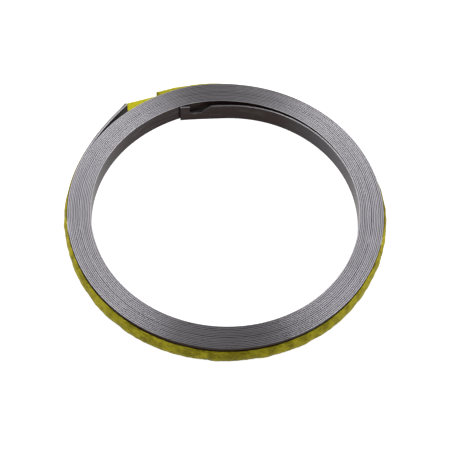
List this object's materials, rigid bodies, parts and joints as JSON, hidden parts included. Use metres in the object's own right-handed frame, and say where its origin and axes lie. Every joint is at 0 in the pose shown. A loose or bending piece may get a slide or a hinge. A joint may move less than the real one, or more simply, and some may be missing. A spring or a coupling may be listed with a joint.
{
  "type": "recoil starter spring",
  "caption": "Flat steel strip wound into an open ring, with a notched inner end and a free outer end, held by a wrap of yellow tape. It rewinds the rope of a pull starter.",
  "frame": {"origin": "on the ring's axis, level with the strip's lower edge", "axes": "+Z along the ring's axis, out of the edge that has the notch; +Y towards the side where both ends of the strip lie; +X to the right of it seen from above"},
  "size_m": [0.1002, 0.1002, 0.0068],
  "materials": {
    "spring_steel": "tempered strip, dark grey-brown faces and brighter slit edges",
    "tape": "matt crepe paper tape, olive yellow"
  },
  "bodies": {
    "root": {"spring_strip": "spring_steel", "retaining_tape": "tape"}
  },
  "joints": []
}
